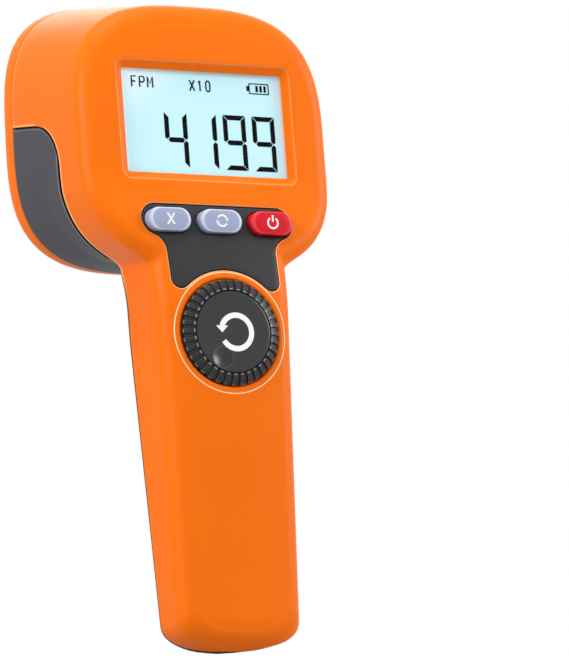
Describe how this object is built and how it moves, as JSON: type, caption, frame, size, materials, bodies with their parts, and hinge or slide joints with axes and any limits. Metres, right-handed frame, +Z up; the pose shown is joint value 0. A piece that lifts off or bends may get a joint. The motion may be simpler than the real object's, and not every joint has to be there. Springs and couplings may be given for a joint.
{
  "type": "handheld stroboscope",
  "caption": "Handheld stroboscope: display head with a wide flashing lamp behind, straight handle, turning dial for the flash rate and sprung keys.",
  "frame": {"origin": "middle of the flat foot at the handle's lower end", "axes": "+X to the right as the display is read, +Z up along the handle, -Y out of the display, +Y the way the lamp shines"},
  "size_m": [0.0924, 0.0664, 0.2179],
  "materials": {
    "orange_plastic": "satin moulded",
    "grey_plastic": "satin moulded",
    "panel_plastic": "matt printed overlay",
    "key_grey": "semi-gloss moulded",
    "key_red": "semi-gloss moulded",
    "dial_plastic": "satin moulded",
    "screw_steel": "plated",
    "clear_lens": "clear polished",
    "lcd_glass": "polarised display glass",
    "white_plastic": "moulded",
    "gasket_rubber": "matt",
    "reflector_bright": "metallised",
    "led_emitter": "phosphor under clear resin",
    "white_board": "white solder mask",
    "green_board": "green solder mask",
    "bare_aluminium": "milled",
    "black_plastic": "moulded",
    "bush_brass": "turned",
    "cell_sleeve": "printed film sleeve over a metal can",
    "lead_insulation": "extruded"
  },
  "bodies": {
    "casing": {"front_shell": "orange_plastic", "lamp_bezel": "orange_plastic", "rear_shell": "grey_plastic", "battery_door": "grey_plastic", "control_panel": "panel_plastic", "bezel_screws": "screw_steel", "case_screws": "screw_steel", "board_screws": "screw_steel", "lamp_standoffs": "screw_steel", "battery_springs": "screw_steel", "battery_contacts": "screw_steel", "lamp_lens": "clear_lens", "display_window": "clear_lens", "lcd_panel": "lcd_glass", "lcd_backlight": "white_plastic", "lcd_holder": "white_plastic", "lens_gasket": "gasket_rubber", "reflector": "reflector_bright", "leds": "led_emitter", "led_board": "white_board", "main_board": "green_board", "heat_spreader": "bare_aluminium", "board_link": "black_plastic", "switch_bodies": "black_plastic", "encoder_body": "black_plastic", "battery_tray": "black_plastic", "encoder_bush": "bush_brass", "battery_cells": "cell_sleeve", "battery_leads": "lead_insulation"},
    "dial": {"dial_knob": "dial_plastic", "dial_cap": "dial_plastic", "encoder_shaft": "screw_steel"},
    "range_key": {"range_button": "key_grey", "range_plunger": "black_plastic"},
    "mode_key": {"mode_button": "key_grey", "mode_plunger": "black_plastic"},
    "power_key": {"power_button": "key_red", "power_plunger": "black_plastic"}
  },
  "joints": [
    {"name": "dial_spin", "type": "hinge", "parent": "casing", "child": "dial", "pos_m": [0, -0.0135, 0.0994], "axis": [0, -1, 0], "continuous": true},
    {"name": "range_press", "type": "slide", "parent": "casing", "child": "range_key", "axis": [0, 1, 0], "range_m": [0, 0.0008], "stiffness_N_per_m": 1200, "springref_m": -0.0003},
    {"name": "mode_press", "type": "slide", "parent": "casing", "child": "mode_key", "axis": [0, 1, 0], "range_m": [0, 0.0008], "stiffness_N_per_m": 1200, "springref_m": -0.0003},
    {"name": "power_press", "type": "slide", "parent": "casing", "child": "power_key", "axis": [0, 1, 0], "range_m": [0, 0.0008], "stiffness_N_per_m": 1200, "springref_m": -0.0003}
  ]
}
